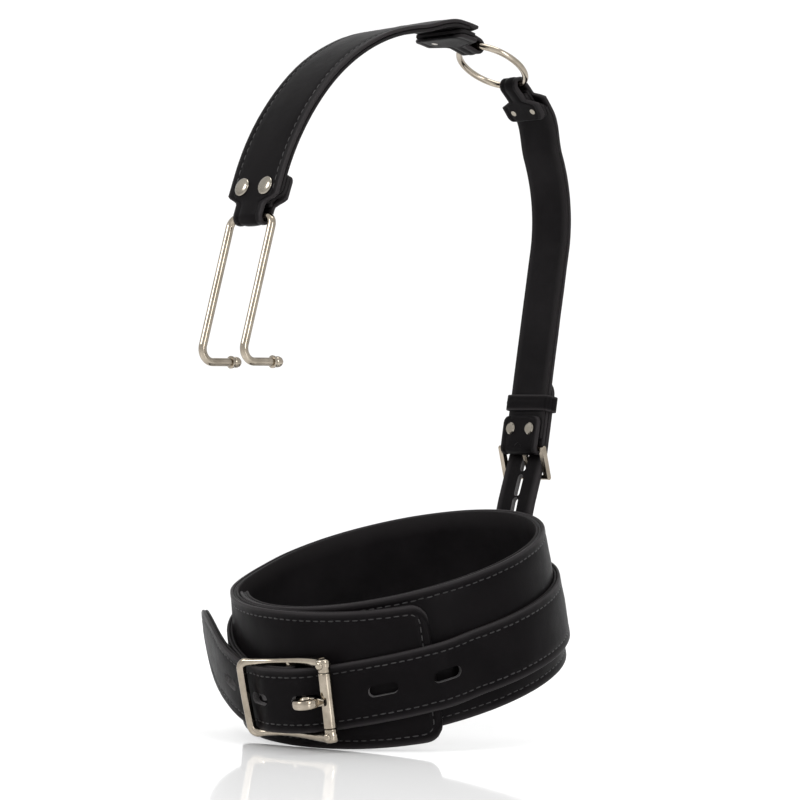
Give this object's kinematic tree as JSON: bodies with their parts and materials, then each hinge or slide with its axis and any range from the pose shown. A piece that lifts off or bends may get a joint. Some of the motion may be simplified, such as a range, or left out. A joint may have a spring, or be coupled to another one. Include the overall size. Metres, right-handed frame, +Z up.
{
  "type": "leather neck collar with head strap",
  "caption": "Padded leather neck collar with a locking belt buckle and an adjustable head strap that ends in a wire nose hook.",
  "frame": {"origin": "centre of the collar's neck opening", "axes": "+Z up; the wearer faces -Y and the wearer's left is +X; the collar's own axis leans forward"},
  "size_m": [0.1745, 0.2182, 0.3438],
  "materials": {
    "black_leather": "smooth satin",
    "lining_leather": "soft matte",
    "padding_foam": "matte foam",
    "nickel_wire": "polished nickel",
    "nickel_rivet": "polished nickel",
    "stitch_thread": "waxed thread"
  },
  "bodies": {
    "collar": {"collar_outer": "black_leather", "collar_padding": "padding_foam", "collar_lining": "lining_leather", "belt_strap": "black_leather", "belt_backing": "lining_leather", "belt_rivets": "nickel_rivet", "back_rivets": "nickel_rivet", "buckle_frame": "nickel_wire", "buckle_pin": "nickel_wire", "tether_strap": "black_leather", "nape_rivets": "nickel_rivet", "strap_keeper": "black_leather", "rear_strap_outer": "black_leather", "rear_strap_lining": "lining_leather", "rear_tail_lining": "lining_leather", "rear_ring_rivets": "nickel_rivet"},
    "tongue": {"locking_tongue": "nickel_wire"},
    "roller": {"buckle_roller": "nickel_wire"},
    "nape_frame": {"nape_buckle_frame": "nickel_wire"},
    "prong": {"nape_prong": "nickel_wire"},
    "ring": {"crown_ring": "nickel_wire"},
    "front_strap": {"front_strap_outer": "black_leather", "front_strap_lining": "lining_leather", "hook_tail_lining": "lining_leather", "crown_tail_lining": "lining_leather", "crown_rivets": "nickel_rivet", "hook_rivet_caps": "nickel_rivet", "hook_rivet_posts": "nickel_rivet"},
    "hook": {"nose_hook": "nickel_wire", "hook_tip_left": "nickel_wire", "hook_tip_right": "nickel_wire"}
  },
  "joints": [
    {"name": "tongue_lift", "type": "hinge", "parent": "collar", "child": "tongue", "pos_m": [0.0133, -0.07981, -0.03025], "axis": [0.0066, 0.1414, -0.9899], "range_deg": [0, 8]},
    {"name": "roller_spin", "type": "hinge", "parent": "collar", "child": "roller", "pos_m": [0.03598, -0.07919, -0.03001], "axis": [0.0066, 0.1414, -0.9899], "continuous": true},
    {"name": "nape_frame_tilt", "type": "hinge", "parent": "collar", "child": "nape_frame", "pos_m": [0, 0.08275, 0.08188], "axis": [1, 0, 0], "range_deg": [0, 8]},
    {"name": "prong_lift", "type": "hinge", "parent": "nape_frame", "child": "prong", "pos_m": [0, 0.08275, 0.08188], "axis": [1, 0, 0], "range_deg": [0, 8]},
    {"name": "crown_ring_swing", "type": "hinge", "parent": "collar", "child": "ring", "pos_m": [0, 0.07644, 0.26282], "axis": [-1, 0, 0], "range_deg": [0, 20]},
    {"name": "front_strap_lift", "type": "hinge", "parent": "ring", "child": "front_strap", "pos_m": [0, 0.04705, 0.27979], "axis": [-1, 0, 0], "range_deg": [0, 70]},
    {"name": "nose_hook_swing", "type": "hinge", "parent": "front_strap", "child": "hook", "pos_m": [0, -0.09318, 0.18996], "axis": [-1, 0, 0], "range_deg": [0, 60]}
  ]
}
